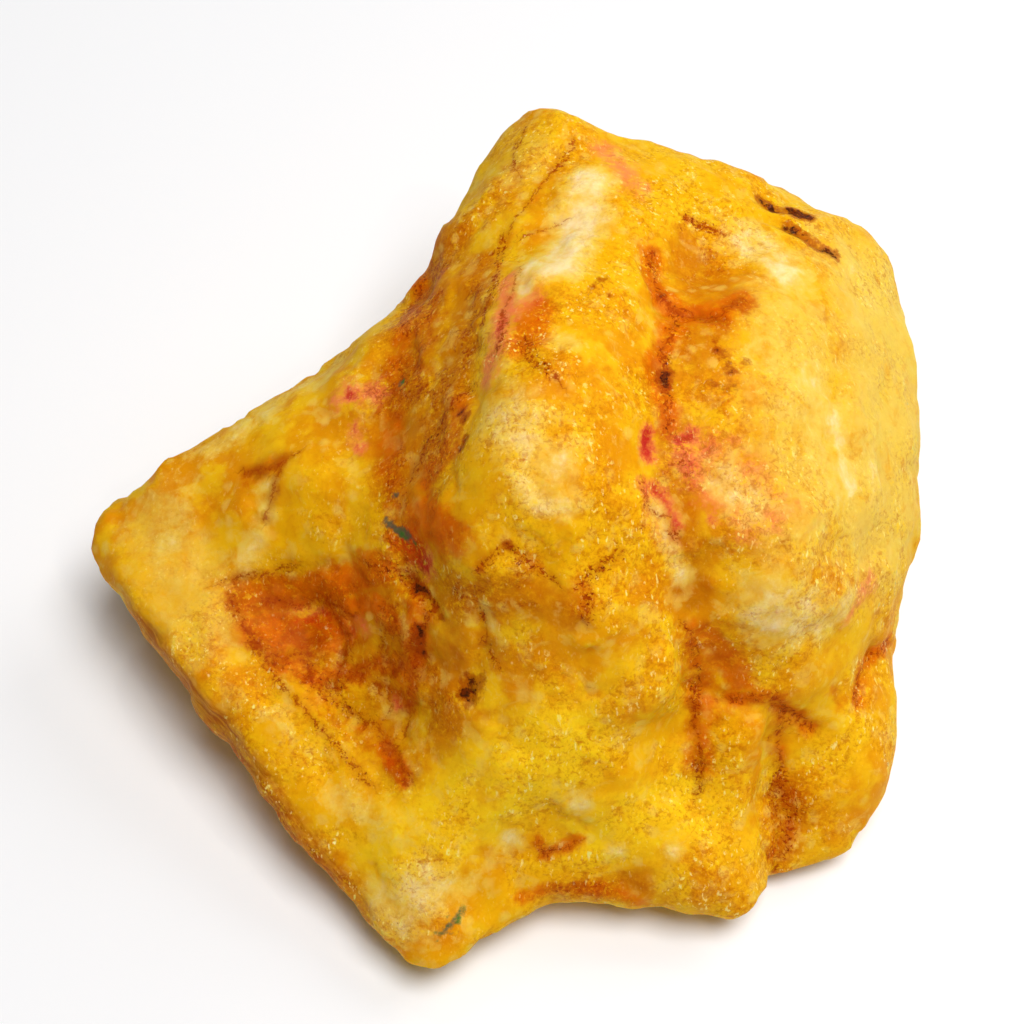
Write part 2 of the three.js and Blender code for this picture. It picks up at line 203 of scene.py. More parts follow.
LEMON = [
    (7.0, 1.0, [(30, 17, 22), (30.5, 8, 22), (29, -1, 21)]),
    (5.0, 0.7, [(22, 10, 28.5), (22, 2, 29.5), (22, -5, 28)]),
    (2.4, 0.5, [(2.5, 27, 29.5), (1, 25, 29.5)]),
    (4.0, 0.6, [(-24, -8, 15.5), (-28, 0, 16)]),
]
# The clear yellow of the front and the block, made brighter as painted lighting where the lamps reach them
# too little.
YELLOW_AND_PAINTED_LIGHT = [
    (4.4, 1.0, [(-8, -26, 10.5), (0, -22, 16), (4, -20, 19)]),
    (3.8, 1.0, [(8, -24, 11), (14, -22, 11)]),
    (2.6, 0.5, [(27.5, -15, 11.5), (27, -18, 9)]),
]
# Darker honey, partly the stone's own tone and partly painted shade on faces turned from the light: the side
# of the crest, the hollow, the bowl and its groove, the block, the lower front.
OCHRE_AND_SHADE = [
    (3.4, 1.0, [(-5.5, 20, 26), (-6, 18, 25), (-7, 12, 26.5), (-8, 6.5, 26.5), (-8, 2.5, 25.5)]),
    (2.2, 1.0, [(-2.5, 16, 29.5), (-3, 10, 30), (-4, 4, 29), (-6, -1, 28)]),
    (3.0, 0.7, [(-17.5, -8.5, 14), (-13, -11, 14), (-9.5, -11, 16), (-9, -16, 13)]),
    (2.6, 0.7, [(-8, -4, 25), (-7.5, -7, 23.5), (-5, -12, 22), (-5, -17, 16.5)]),
    (2.4, 1.0, [(-13, -6.5, 18), (-9.5, -9, 19.5), (-7, -13, 18.5)]),
    (2.2, 1.0, [(-8, 1, 25.5), (-7, -3, 26.5), (-5, -6, 28)]),
    (2.2, 0.8, [(-3, -11, 25.5), (1, -11.5, 28), (4.5, -12.5, 27)]),
    (2.4, 0.8, [(14.5, 18, 29), (16.5, 12, 31), (14.5, 7, 31.5)]),
    (2.0, 0.7, [(12, 1, 31), (13, -5, 28.5), (14, -9.5, 25)]),
    (2.0, 0.5, [(17, -15, 16.5), (20, -16, 15), (24, -16, 12)]),
    (2.2, 0.9, [(22.5, -20.5, 7), (22, -22.5, 5)]),
    (1.6, 0.7, [(4, -27.5, 6), (10.5, -27, 7.5)]),
]
PINK = [
    (1.2, 0.9, [(0.5, 13, 32.5), (0, 10.5, 33), (-0.5, 6.5, 33.5), (-1.5, 4, 33)]),
    (1.3, 0.8, [(2, 12, 33.5), (1.5, 10.5, 34)]),
    (1.4, 0.8, [(8, 27.5, 30), (9, 25.5, 30), (10, 23, 30.5)]),
    (1.3, 0.8, [(-13, 8, 23.5), (-10.5, 7.5, 24.5)]),
    (0.8, 0.6, [(-12, 5, 24), (-11.5, 3, 24)]),
    (2.4, 0.9, [(14.5, -2, 30.5), (17, -3.5, 30), (18.5, -5, 29.5)]),
    (1.4, 0.7, [(26.5, -9, 19.5), (28, -6.5, 19)]),
    (0.9, 0.7, [(10, -4, 31), (12, -7.5, 28)]),
    (1.0, 0.3, [(-12, -8.5, 15.5), (-10, -9, 17)]),
]
RED = [
    (1.5, 1.2, [(-7.5, -6, 24.5), (-6.5, -7, 24.5)]),
    (0.5, 0.8, [(0, 8.5, 33), (-0.5, 6.5, 33.5)]),
    (0.7, 1.0, [(10.5, 0, 31.5), (10.5, -1.5, 31)]),
    (0.5, 0.9, [(13, -0.5, 31), (14, 0, 31)]),
    (0.5, 1.0, [(11, -4, 30), (12, -5, 29), (12.5, -6.5, 28.5)]),
    (0.4, 1.0, [(15.5, -6, 29)]),
    (0.5, 0.8, [(14, -2, 30.5), (15, -1.5, 30.5)]),
    (0.6, 0.8, [(-12.5, 8, 23.5), (-11.5, 7.5, 24)]),
    (0.4, 0.9, [(-12, 5, 24)]),
    (0.35, 0.8, [(-11.5, 3, 24)]),
    (0.4, 0.9, [(-12, -8.5, 15.5)]),
    (0.4, 0.9, [(-8.5, -14.5, 14)]),
    (0.5, 0.7, [(-9, -18.5, 12.5), (-8, -20, 12.5)]),
    (1.0, 0.7, [(-16.5, -7, 14.5), (-13.5, -8, 15)]),
    (0.7, 0.6, [(2, 10.5, 34), (2.5, 8, 34.5)]),
]
RUST = [
    # the hollow: its bright top, its left corner, its lower end and its right wall
    (1.5, 1.0, [(-21, -6, 15.5), (-16.5, -5.5, 15.5), (-12.5, -6, 18.5), (-9.5, -6, 21.5)]),
    (1.6, 1.0, [(-20, -8, 14.5), (-16, -8.5, 14), (-12, -8.5, 15.5)]),
    (1.0, 0.9, [(-14, -7, 16), (-10, -8, 19), (-8.5, -10, 19.5)]),
    (1.1, 0.7, [(-18.5, -10.5, 14), (-15.5, -12, 13.5), (-12.5, -12, 13.5), (-9, -12, 16)]),
    (1.0, 0.5, [(-15, -13.5, 13.5), (-11, -17, 12)]),
    (1.0, 0.9, [(-9.5, -18, 12.5), (-8, -20, 12.5)]),
    (1.3, 0.7, [(-7.5, -8, 22), (-6.5, -11.5, 20.5), (-8, -14.5, 15)]),
    # the valley at the foot of the crest
    (1.5, 0.7, [(-7, 19, 23.5), (-8, 13, 25.5), (-9, 6.5, 25.5), (-8.5, 0, 25), (-7.5, -6.5, 23.5)]),
    (2.0, 0.6, [(-6, 16, 26), (-6.5, 12, 27), (-7, 8, 27)]),
    (2.0, 1.0, [(-8, -5.5, 24), (-6, -5, 27.5), (-4, -7.5, 29)]),
    (1.2, 0.8, [(-3.5, 2.5, 31), (-4, -1, 30.5), (-6, -2, 28)]),
    (0.5, 0.4, [(0.5, 19.5, 30.5), (-1, 13, 31.5), (-2, 7.5, 32)]),
    (1.7, 1.0, [(2, 9, 34.5), (1.5, 6, 34.5)]),
    # the bowl and the groove beside the right lobe
    (1.3, 0.9, [
        (11.5, 16.5, 31), (11.5, 13.5, 31), (12.5, 11.5, 31),
        (15, 10.5, 31), (16.5, 10.5, 31.5), (18, 12, 31),
    ]),
    (1.0, 0.9, [(13, 10, 31.5), (12, 7.5, 32), (11, 5.5, 32), (12, 2.5, 32), (12, 0.5, 31)]),
    (0.5, 0.8, [(10, -3.5, 31), (10.5, -5.5, 30), (12, -6.5, 28.5), (12.5, -8, 27)]),
    # the fan under it, and the creases under the right lobe
    (1.4, 0.8, [(14.5, -12.5, 22), (15, -13.5, 19.5), (15, -16.5, 15), (15, -19, 12.5)]),
    (1.4, 0.9, [(15.5, -12.5, 21.5), (17, -13, 19.5), (18, -14, 17.5)]),
    (0.9, 0.8, [(17.5, -15, 16.5), (20.5, -15, 17), (21.5, -15.5, 15.5), (24, -16, 12)]),
    (0.9, 0.9, [(31, -8, 11), (28.5, -11, 13), (28, -13.5, 12)]),
    (0.7, 0.6, [(22, -16, 14.5), (22, -19, 8.5), (23, -21, 6), (21.5, -24.5, 4.5)]),
    (0.8, 0.6, [(25.5, -13.5, 14.5), (26.5, -14, 13)]),
    # the front
    (0.8, 0.4, [(-2, -10, 29), (0, -9, 30.5), (2.5, -10, 29.5)]),
    (1.2, 0.4, [(5.5, -11, 28.5), (6, -12, 27.5)]),
    (0.7, 0.9, [(2.5, -24.5, 10), (3, -25, 9), (5.5, -24.5, 10)]),
    (0.9, 0.7, [(1, -27.5, 6.5), (7.5, -27, 6.5), (10.5, -28, 5.5)]),
    (1.2, 0.4, [(-2, -12.5, 24.5), (-1, -15, 22)]),
    # the left lobe
    (1.0, 0.6, [(-20.5, 2.5, 20), (-18, 3, 22)]),
    (0.5, 0.5, [(-19, -1, 19.5), (-18, 2, 21.5)]),
    # the top
    (0.8, 0.3, [(5, 27.5, 30.5), (3.5, 24.5, 31), (1, 21, 30.5)]),
    (0.6, 0.6, [(14.5, 21, 29.5), (17, 20, 29)]),
]
# The steep strip under the long edge at the lower left, with its streaks along the edge, darkened over the
# whole strip as painted shade on the side turned from the light.
SHADED_SIDE_STRIP = [
    (2.2, 1.0, [
        (-29.5, -7.5, 12), (-25.5, -12.5, 11.5), (-21.5, -18, 10),
        (-17, -23.5, 7.5), (-12.5, -28.5, 5),
    ]),
]
EDGE_WAY = (0.6, -0.75, -0.27)  # the way that this long edge runs
DARK = [
    # the slot and the pits down the right side of the hollow
    (0.5, 1.0, [(-7, -8, 22), (-6, -9, 22.5)]),
    (0.4, 1.0, [(-5.5, -10, 22.5), (-5, -11, 22.5)]),
    (0.4, 0.9, [(-6.5, -11, 20.5), (-6.5, -12.5, 19)]),
    (0.4, 0.7, [(-8, -12.5, 17), (-10, -13, 14.5)]),
    (1.1, 0.9, [(-2.5, -15.5, 20), (-3, -16, 19.5)]),
    (0.4, 0.8, [(-21, -8, 15), (-19.5, -10, 14)]),
    (0.3, 0.8, [(-16, -10, 13.5), (-15.5, -12, 13.5)]),
    # the foot of the crest
    (0.5, 1.0, [(-3.5, 2, 31), (-3, 1, 31.5)]),
    (0.4, 0.9, [(-3, -0.5, 32), (-3.5, -1.5, 31.5)]),
    # the groove and the bowl
    (0.6, 1.0, [(12, 5, 32), (12, 4, 32)]),
    (0.4, 0.9, [(12, 12.5, 31), (13, 11, 31)]),
    (0.35, 0.8, [(16, 8, 31.5), (16, 7, 32), (17, 5, 32)]),
    (0.4, 0.9, [(18, 6, 31.5)]),
    (0.4, 0.9, [(15.5, 4, 32), (16.5, 3.5, 31.5), (17, 4, 31.5)]),
    (0.4, 0.8, [(11.5, 16, 31)]),
    # the sooty pits on the back strip
    (1.0, 0.9, [(21.5, 25, 26.5), (23, 24.5, 26.5), (24.5, 24, 25.5)]),
    (0.9, 0.7, [(23, 22, 27), (24.5, 20.5, 26.5), (26.5, 20, 26)]),
    # the rest
    (0.4, 0.8, [(7, 12, 33.5), (6.5, 11, 34)]),
    (0.4, 0.7, [(0, -9, 30.5)]),
    (0.3, 0.8, [(16.5, -15, 16.5)]),
]
GREEN = [
    (0.5, 1.0, [(-9, -3.5, 24), (-8.5, -4.5, 24.5), (-7.5, -5.5, 25)]),
    (0.35, 0.8, [(-8.4, 7.8, 25.8)]),
    (0.5, 1.0, [(-8.5, -2, 25.5)]),
    (0.3, 1.0, [(-3.4, -29.2, 7.4), (-4.4, -30, 7.2), (-4.6, -30.4, 7)]),
    (0.3, 0.9, [(-5.4, -31, 6.8), (-4.6, -30.4, 7), (-3.8, -30.8, 6.6)]),
]
# Smooth, waxy breaks, with few painted glints and little clear coat: the left lobe, the crest, the right lobe
# and the hollow.
WAXY = [
    (7.0, 1.0, [(-28, 0, 16), (-22, 2, 19), (-16, 6, 21)]),
    (3.0, 0.8, [(6, 20, 31.5), (3.5, 13.5, 33)]),
    (6.0, 0.7, [(22, 12, 28.5), (26, 2, 26)]),
    (4.0, 0.7, [(-17, -8, 14.5), (-12, -9.5, 15), (-9, -13, 16), (-8, -17, 13)]),
]
# Thin rusty cracks: paths.
VEINS = [
    # the hollow
    [(-22, -6, 15.5), (-21, -8, 15), (-19.5, -10, 14), (-17.5, -10.5, 14), (-16, -10, 13.5)],
    [
        (-19.5, -10, 14), (-18.5, -11.5, 14), (-17.5, -13, 13.5),
        (-16.5, -14, 13.5), (-13, -17.5, 11.5), (-10.5, -20.5, 11.5),
    ],
    [
        (-16, -10, 13.5), (-15.5, -12, 13.5), (-14, -13, 13.5),
        (-12.5, -12, 13.5), (-10.5, -11.5, 15), (-8, -12.5, 17),
    ],
    [(-15, -13, 13.5), (-11.5, -15, 12.5), (-10, -16, 12.5), (-8.5, -18.5, 12.5), (-7.5, -20.5, 13)],
    [(-23, -5, 16), (-21.5, -4.5, 16.5), (-19.5, -4.5, 16.5), (-17, -4.5, 17.5)],
    [
        (-11, -5.5, 21), (-8.5, -7, 22), (-7, -8, 22), (-5.5, -10, 22.5),
        (-6.5, -11.5, 20.5), (-7.5, -13.5, 17), (-8, -16.5, 13.5),
    ],
    [(-19, -6, 15), (-16.5, -6.5, 15), (-14, -6.5, 16), (-12.5, -8, 17)],
    [(-9.5, -10.5, 17), (-10, -11.5, 15.5), (-9, -13.5, 14.5), (-9.5, -15, 13)],
    [(-13.5, -7.5, 15.5), (-12.5, -9.5, 15), (-13, -11.5, 13.5)],
    [(-6.5, -11, 20.5), (-8, -12.5, 17), (-10, -13, 14.5)],
    # the crest and its foot
    [(-0.5, 18.5, 30), (-1, 13, 31.5), (-2, 9.5, 32)],
    [(-3, 4, 31), (-5, 2, 29), (-7, -1, 27)],
    [(1.5, 30, 29), (0.5, 27.5, 29.5), (1, 24.5, 30)],
    [
        (5.5, 28, 30.5), (4.5, 26, 30.5), (3.5, 24.5, 31),
        (1.5, 21.5, 30.5), (0.5, 19.5, 30.5), (-0.5, 17, 30),
    ],
    [(4.5, 19.5, 31.5), (3, 18.5, 31.5), (1.5, 18, 31)],
    [(1, 14, 32.5), (0, 10.5, 33), (0, 7.5, 33.5), (-0.5, 6, 33.5)],
    [(1.5, 6, 34.5), (2, 4, 35), (3, 3, 35.5), (4, 1.5, 35.5)],
    [(-8, 13, 25.5), (-8, 16, 24), (-7, 19, 23.5)],
    # the bowl and the groove
    [
        (11.5, 16.5, 31), (11.5, 13.5, 31), (13, 10.5, 31), (12, 7.5, 32),
        (12, 5, 32), (12, 2, 31.5), (12, 1, 31),
    ],
    [(12.5, 11.5, 31), (15, 10.5, 31), (16.5, 10.5, 31.5), (18, 12, 31)],
    [(10, -4, 31), (10.5, -5.5, 30), (12, -6, 29), (12.5, -7, 28)],
    [(14.5, 21, 29.5), (16, 20.5, 29), (17, 20, 29)],
    # the fan and the creases under the right lobe
    [
        (13.5, -12, 23), (14.5, -13, 20.5), (15, -14.5, 18),
        (14.5, -16.5, 15), (15, -18, 13.5), (15, -21, 11),
    ],
    [(17.5, -15, 16.5), (20.5, -15, 17), (21.5, -15.5, 15.5), (24, -16, 12)],
    [(31, -8, 11), (30, -9.5, 12), (28.5, -11, 13), (28, -13.5, 12)],
    [(22, -16, 14.5), (22, -19, 8.5), (23, -21, 6), (22.5, -23.5, 4.5)],
    # the front
    [(-2, -10, 29), (0, -9, 30.5), (1, -9.5, 30), (3.5, -11, 28.5)],
    [(5.5, -11, 28.5), (7, -10, 29), (8.5, -9, 29)],
    [(5.5, -11, 28.5), (6, -11.5, 28), (6, -13, 26.5)],
    [(-2, -12, 25), (-1.5, -14, 22.5), (-1, -15, 22.5)],
    [(2.5, -24.5, 10), (3, -25, 9), (5.5, -24.5, 10)],
    # the left lobe
    [(-19, -1, 19.5), (-17.5, 3, 22)],
    [(-21, 3, 20), (-18.5, 2.5, 21.5), (-16.5, 3.5, 22.5)],
]
STAINS = {
    "cream": CREAM,
    "lemon": LEMON,
    "yellow_and_painted_light": YELLOW_AND_PAINTED_LIGHT,
    "ochre_and_shade": OCHRE_AND_SHADE,
    "rust": RUST,
    "pink": PINK,
    "red": RED,
    "side": SHADED_SIDE_STRIP,
    "dark": DARK,
    "green": GREEN,
    "waxy": WAXY,
}
STAIN_FRINGE = 0.6  # how far a stain fades out past its radius, at the least,
WIDE_FRINGE = 0.6  # and the same as a share of the radius of a large one
DEPTH_FORGIVEN = 0.7  # the share of a path's height over the surface that doesn't count as distance
VEIN_CORE = 0.3  # a vein shows fully this close to its path
VEIN_FRINGE = 1.3  # and not at all this far from it


# ---------------------------------------------------------------- geometry

SUBDIVISIONS = 2
FACING_DOWN = -0.999  # the height of the normal of a face that lies on the table
FAR = 9.0  # farther than any fringe reaches
CREVICE_PASSES = 10  # how often the surface is smoothed to find what lies below it


def subdivided_copy(node):
    """A finer, rounded copy of a CAD node, with the edge of its flat face kept sharp."""
    mesh = node.data.copy()
    fine = bmesh.new()
    fine.from_mesh(mesh)
    bmesh.ops.remove_doubles(fine, verts=fine.verts, dist=0.001 * MM)
    crease = fine.edges.layers.float.new("crease_edge")
    for edge in fine.edges:
        flat = [face.normal.z < FACING_DOWN for face in edge.link_faces]
        if any(flat) and not all(flat):
            edge[crease] = 1
    fine.to_mesh(mesh)
    fine.free()
    mesh.materials.clear()
    stone = bpy.data.objects.new("sapphire_stone", mesh)
    bpy.context.collection.objects.link(stone)
    subdivision = stone.modifiers.new("fine", "SUBSURF")
    subdivision.levels = SUBDIVISIONS
    subdivision.render_levels = SUBDIVISIONS
    evaluated = stone.evaluated_get(bpy.context.evaluated_depsgraph_get())
    rounded = bpy.data.meshes.new_from_object(evaluated)
    stone.modifiers.clear()
    stone.data = rounded
    bpy.data.meshes.remove(mesh)
    return stone


def corners_of(mesh):
    """The corners of a mesh in millimetres."""
    flat = np.empty(len(mesh.vertices) * 3)
    mesh.vertices.foreach_get("co", flat)
    return flat.reshape(-1, 3) / MM


def normals_of(mesh):
    """The way that the surface faces at each corner."""
    flat = np.empty(len(mesh.vertices) * 3)
    mesh.vertices.foreach_get("normal", flat)
    return flat.reshape(-1, 3)


def way_to_path(points, normals, path):
    """For each point, its distance to a path and the same distance signed by the side it is on."""
    nearest = np.full(len(points), np.inf)
    signed = np.full(len(points), np.inf)
    path = np.array(path, float)
    if len(path) == 1:
        path = np.array([path[0], path[0] + np.array([0, 0, 0.01])])
    for start, end in zip(path, path[1:]):
        along = end - start
        share = np.clip((points - start) @ along / (along @ along), 0, 1)
        away = points - start - share[:, None] * along
        away -= DEPTH_FORGIVEN * np.einsum("ij,ij->i", away, normals)[:, None] * normals
        distance = np.linalg.norm(away, axis=1)
        side = np.sign(np.einsum("ij,ij->i", np.cross(normals, along), away))
        closer = distance < nearest
        nearest = np.where(closer, distance, nearest)
        signed = np.where(closer, side * distance, signed)
    return nearest, signed


def smooth(low, high, value):
    """0 up to low, 1 from high on, and a smooth rise in between."""
    share = np.clip((value - low) / (high - low), 0, 1)
    return share * share * (3 - 2 * share)


def lump_height(place):
    """Two octaves of soft noise."""
    return noise.fractal(Vector(place), 1.0, 2.0, 2)


def chip_height(place):
    """Height of the flat breaks: each one is a plane tilted its own way, with a short slope to the next."""
    place = Vector(place)
    warped = place + CHIP_WARP * noise.noise_vector(3 * place)
    distances, middles = noise.voronoi(warped)
    total = 0
    weights = 0
    for distance, middle in zip(distances, middles):
        tilt = 2 * noise.cell_vector(97 * middle) - Vector((1, 1, 1))
        weight = math.exp(CHIP_EDGE * (distances[0] - distance))
        total += weight * tilt.dot(warped - middle)
        weights += weight
    return total / weights


def relief(points, normals):
    """How far each point is moved along its normal: lumps, chips and creases."""
    noise.seed_set(CHIP_SEED)
    height = np.zeros(len(points))
    for size, amount, place in LUMPS:
        height += amount * np.array([lump_height(at) for at in points / size + np.array(place)])
    for size, tilt, place in CHIPS:
        height += size * tilt * np.array([chip_height(at) for at in points / size + np.array(place)])
    for width, depth, path in CREASES:
        distance, _ = way_to_path(points, normals, path)
        height -= depth * np.exp(-((distance / width) ** 2))
    return height * smooth(0, GROUND_FADE, points[:, 2])


def stain(points, normals, marks):
    """Full strength in the middle of a stain, half at its radius and none past its fringe."""
    value = np.zeros(len(points))
    for radius, strength, path in marks:
        distance, _ = way_to_path(points, normals, path)
        fringe = max(STAIN_FRINGE, WIDE_FRINGE * radius)
        value = np.maximum(value, strength * np.clip(0.5 + (radius - distance) / (2 * fringe), 0, 1))
    return value


def veins(points, normals):
    """The signed distance to the nearest vein, and how strongly it shows."""
    side = np.full(len(points), FAR)
    for path in VEINS:
        distance, signed = way_to_path(points, normals, path)
        side = np.where(distance < np.abs(side), signed, side)
    return side, 1 - smooth(VEIN_CORE, VEIN_FRINGE, np.abs(side))


def hollowness(mesh):
    """How far each corner lies below the smoothed surface round it, in millimetres."""
    points = corners_of(mesh)
    ends = np.empty(len(mesh.edges) * 2, int)
    mesh.edges.foreach_get("vertices", ends)
    one, other = ends.reshape(-1, 2).T
    count = np.bincount(ends, minlength=len(points))[:, None]
    smoothed = points.copy()
    for _ in range(CREVICE_PASSES):
        total = np.zeros_like(smoothed)
        for axis in range(3):
            total[:, axis] += np.bincount(one, smoothed[other, axis], len(points))
            total[:, axis] += np.bincount(other, smoothed[one, axis], len(points))
        smoothed = total / count
    return np.einsum("ij,ij->i", smoothed - points, normals_of(mesh))


def attach(mesh, name, values):
    """Stores one number for each corner, for the material to read."""
    mesh.attributes.new(name, "FLOAT", "POINT").data.foreach_set("value", values.astype(np.float32))


def build_stone():
    """The stone: a fine copy of the CAD solid, with its stains, its relief and its material."""
    stone = subdivided_copy(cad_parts[NODE])
    mesh = stone.data
    points = corners_of(mesh)
    normals = normals_of(mesh)
    for name, marks in STAINS.items():
        attach(mesh, name, stain(points, normals, marks))
    side, strength = veins(points, normals)
    attach(mesh, "vein_side", side)
    attach(mesh, "vein_strength", strength)
    moved = points + normals * relief(points, normals)[:, None]
    moved[:, 2] = np.maximum(moved[:, 2], 0)
    mesh.vertices.foreach_set("co", (moved * MM).ravel())
    mesh.update()
    attach(mesh, "crevice", hollowness(mesh))
    mesh.shade_smooth()
    mesh.materials.append(stone_material())
    return stone


# ---------------------------------------------------------------- colours


def colour(red, green, blue):
    """A screen colour of 0 to 255 as the linear colour that a shader takes."""
    def linear(value):
        share = value / 255
        return share / 12.92 if share <= 0.04045 else ((share + 0.055) / 1.055) ** 2.4
    return (linear(red), linear(green), linear(blue), 1)


GOLD = colour(238, 178, 10)
BRIGHT = colour(250, 204, 26)
AMBER = colour(224, 146, 8)
DARK_HONEY = colour(200, 108, 4)
DEEP_AMBER = colour(192, 96, 2)
HONEY = colour(238, 184, 20)
LEMON_YELLOW = colour(232, 197, 84)
PALE = colour(238, 202, 90)
WHITISH = colour(246, 228, 178)
PAINTED_GLINT = colour(255, 232, 130)
PINKISH = colour(246, 126, 84)
BLOOD = colour(200, 28, 34)
SCARLET = colour(212, 62, 6)
ORANGE = colour(222, 106, 2)
DEEP_ORANGE = colour(200, 85, 2)
RUSTY = colour(166, 62, 2)
TAN = colour(208, 134, 36)
BROWN = colour(110, 40, 4)
BLACKISH = colour(44, 20, 10)
LEAF = colour(30, 120, 40)
SLATE = colour(92, 92, 70)


# ---------------------------------------------------------------- materials

CARD_CLOUD = 300
CARD_COLOURS = ((0.90, 0.92, 0.96, 1), (0.92, 0.93, 0.96, 1))
CARD_ROUGHNESS = 0.85
CARD_SHINE = 0.2

CRYSTAL = 0.36  # the size of the facets that glint
GRAIN = 1.3  # and of the milky grains
FACET_TILT = 0.9
COARSE_PITS = 0.10  # the depth of the pits, in millimetres
FINE_PITS = 0.05
EDGE_FALL = (0, -0.6, -0.8)  # the way the painted glints run: down the front
EDGE_LENGTH = 2.5  # how many times longer than wide they are
STREAK_LENGTH = 6  # and the same of the streaks under the long edge

ROUGHNESS = 0.5
SHINE = 0.03  # the broken grains scatter nearly all of the light: only the glassy coat glints
IOR = 1.5
COAT_ROUGHNESS = 0.08
MILKINESS = 0.8
LIGHT_REACH = (2.5, 0.9, 0.25)  # red light goes farthest inside the stone, and blue hardly at all
LIGHT_SCALE = 1.2


class Nodes:
    """Writes a material's node tree, one named step at a time."""

    def __init__(self, name):
        self.material = bpy.data.materials.new(name)
        self.material.use_nodes = True
        self.tree = self.material.node_tree
        self.shader = self.tree.nodes["Principled BSDF"]
        place = self.add("ShaderNodeTexCoord").outputs["Object"]
        self.place = self.vector("MULTIPLY", place, (1 / MM,) * 3)

    def add(self, kind, **settings):
        """A new node with its settings."""
        node = self.tree.nodes.new(kind)
        for name, value in settings.items():
            setattr(node, name, value)
        return node

    def link(self, socket, value):
        """Feeds a socket from another one, or sets it to a plain value."""
        if isinstance(value, bpy.types.NodeSocket):
            self.tree.links.new(value, socket)
        else:
            socket.default_value = value

    def vector(self, operation, *values):
        """A sum on vectors."""
        node = self.add("ShaderNodeVectorMath", operation=operation)
        for socket, value in zip(node.inputs, values):
            self.link(socket, value)
        return node.outputs["Value" if operation == "DOT_PRODUCT" else "Vector"]

    def math(self, operation, *values):
        """A sum on numbers."""
        node = self.add("ShaderNodeMath", operation=operation)
        for socket, value in zip(node.inputs, values):
            self.link(socket, value)
        return node.outputs[0]

    def times(self, value, share):
        """A product."""
        return self.math("MULTIPLY", value, share)

    def times_plus(self, value, share, rest):
        """A product with something added."""
        return self.math("MULTIPLY_ADD", value, share, rest)

    def shifted(self, value, noise_value, amount):
        """A value moved up and down by a noise that is 0.5 on average."""
        return self.times_plus(self.math("SUBTRACT", noise_value, 0.5), amount, value)

    def attribute(self, name):
        """One of the numbers stored at the mesh's corners."""
        return self.add("ShaderNodeAttribute", attribute_name=name).outputs["Fac"]

    def noise(self, size, detail=3.0, roughness=0.5, offset=0.0, distortion=0.0, along=None):
        """Soft noise with lumps of one size in millimetres, stretched along a way if one is given."""
        at = self.place
        if along:
            way = Vector(along[0]).normalized()
            squeeze = tuple(way * (1 / along[1] - 1))
            at = self.vector("ADD", at, self.vector("MULTIPLY", self.vector("DOT_PRODUCT", at, way), squeeze))
        at = self.vector("ADD", self.vector("DIVIDE", at, (size,) * 3), (offset,) * 3)
        node = self.add("ShaderNodeTexNoise")
        self.link(node.inputs["Vector"], at)
        node.inputs["Scale"].default_value = 1
        node.inputs["Detail"].default_value = detail
        node.inputs["Roughness"].default_value = roughness
        node.inputs["Distortion"].default_value = distortion
        return node.outputs["Fac"]

    def cells(self, size):
        """Cells of one size in millimetres, each with a random colour and a random number of its own."""
        node = self.add("ShaderNodeTexVoronoi")
        self.link(node.inputs["Vector"], self.vector("DIVIDE", self.place, (size,) * 3))
        node.inputs["Scale"].default_value = 1
        split = self.add("ShaderNodeSeparateColor")
        self.link(split.inputs["Color"], node.outputs["Color"])
        return {
            "distance": node.outputs["Distance"],
            "colour": node.outputs["Color"],
            "number": split.outputs["Red"],
        }

    def rise(self, value, low, high):
        """0 up to low, 1 from high on, smooth in between. With low above high it falls instead."""
        node = self.add("ShaderNodeMapRange", interpolation_type="SMOOTHSTEP")
        self.link(node.inputs["Value"], value)
        node.inputs["From Min"].default_value = low
        node.inputs["From Max"].default_value = high
        return node.outputs["Result"]

    def mix(self, factor, a, b, share=1.0):
        """Goes from a to b with a factor, and at most by a share."""
        node = self.add("ShaderNodeMix", data_type="RGBA")
        self.link(node.inputs["Factor"], self.times(factor, share))
        self.link(node.inputs[6], a)
        self.link(node.inputs[7], b)
        return node.outputs[2]


